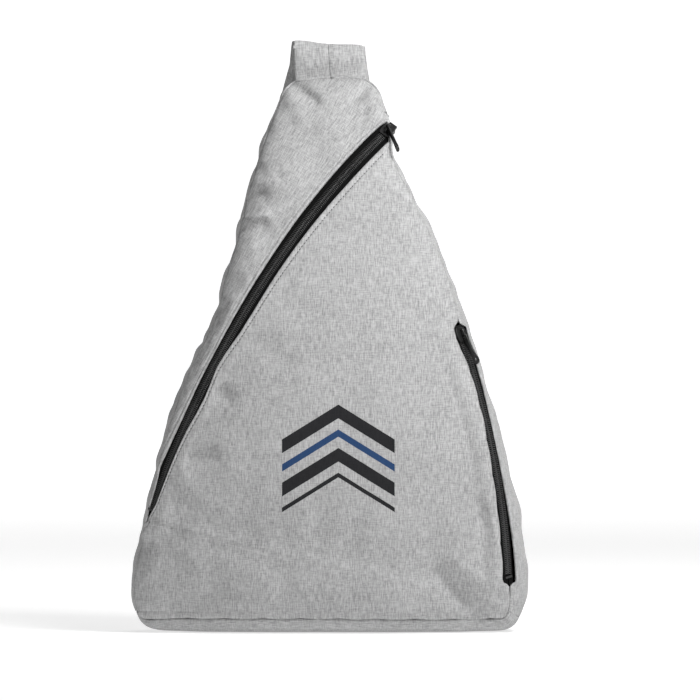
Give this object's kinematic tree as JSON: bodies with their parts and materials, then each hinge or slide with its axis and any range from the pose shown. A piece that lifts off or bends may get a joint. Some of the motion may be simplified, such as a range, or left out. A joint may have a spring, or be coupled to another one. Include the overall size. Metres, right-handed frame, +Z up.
{
  "type": "sling bag",
  "caption": "Triangular padded one-strap sling bag with a curved diagonal front zip, a side pocket zip, and a padded strap with a side-release buckle",
  "frame": {"origin": "centre of the flat underside on which the bag stands", "axes": "+Z up, the front with the diagonal zip faces -Y, +X is to the right seen from the front"},
  "size_m": [0.3006, 0.1883, 0.4558],
  "materials": {
    "heather_fabric": "heathered light grey woven polyester",
    "foam": "closed-cell foam",
    "lining": "plain dark lining cloth",
    "zip_tape": "black woven zip tape",
    "zip_coil": "black nylon coil",
    "zip_metal": "black enamelled zinc",
    "webbing": "black ribbed webbing",
    "buckle": "black acetal, fine texture"
  },
  "bodies": {
    "bag": {"front_lower_panel": "heather_fabric", "front_upper_panel": "heather_fabric", "base_panel": "heather_fabric", "left_gusset": "heather_fabric", "right_gusset": "heather_fabric", "back_panel": "heather_fabric", "back_padding": "foam", "back_lining": "lining", "back_seam_binding": "lining", "side_pocket": "lining", "main_zip_tape_upper": "zip_tape", "main_zip_tape_lower": "zip_tape", "main_zip_coil_upper": "zip_coil", "main_zip_coil_lower": "zip_coil", "main_zip_top_stop": "zip_metal", "main_zip_bottom_stop": "zip_metal", "side_zip_tape_rear": "zip_tape", "side_zip_tape_front": "zip_tape", "side_zip_coil_rear": "zip_coil", "side_zip_coil_front": "zip_coil", "side_zip_top_stop": "zip_metal", "side_zip_bottom_stop": "zip_metal", "side_zip_end_tab": "heather_fabric", "strap_cover": "heather_fabric", "strap_foam": "foam", "strap_webbing": "webbing", "strap_anchor_tab": "webbing", "strap_anchor_patch": "heather_fabric", "buckle_socket": "buckle"},
    "main_slider": {"main_zip_slider": "zip_metal"},
    "main_puller": {"main_zip_puller": "zip_metal"},
    "side_slider": {"side_zip_slider": "zip_metal"},
    "side_puller": {"side_zip_puller": "zip_metal"},
    "plug": {"buckle_plug": "buckle"}
  },
  "joints": [
    {"name": "main_slider_travel", "type": "hinge", "parent": "bag", "child": "main_slider", "pos_m": [0.09282, 0.30358, 0.10268], "axis": [0.7675, -0.5078, -0.3912], "range_deg": [0, 48.67]},
    {"name": "main_puller_swing", "type": "hinge", "parent": "main_slider", "child": "main_puller", "pos_m": [0.04377, 0.00629, 0.38972], "axis": [-0.9304, -0.2755, -0.2416], "range_deg": [0, 170]},
    {"name": "side_slider_travel", "type": "hinge", "parent": "bag", "child": "side_slider", "pos_m": [-0.04226, 0.25502, 0.12212], "axis": [0.853, 0.4829, 0.198], "range_deg": [0, 30.56]},
    {"name": "side_puller_swing", "type": "hinge", "parent": "side_slider", "child": "side_puller", "pos_m": [0.10153, -0.04199, 0.22855], "axis": [-0.7679, -0.6248, -0.1409], "range_deg": [-6, 75]},
    {"name": "buckle_release", "type": "slide", "parent": "bag", "child": "plug", "axis": [0.2521, 0.3256, 0.9113], "range_m": [0, 0.026], "deforming": ["strap_webbing"]}
  ]
}
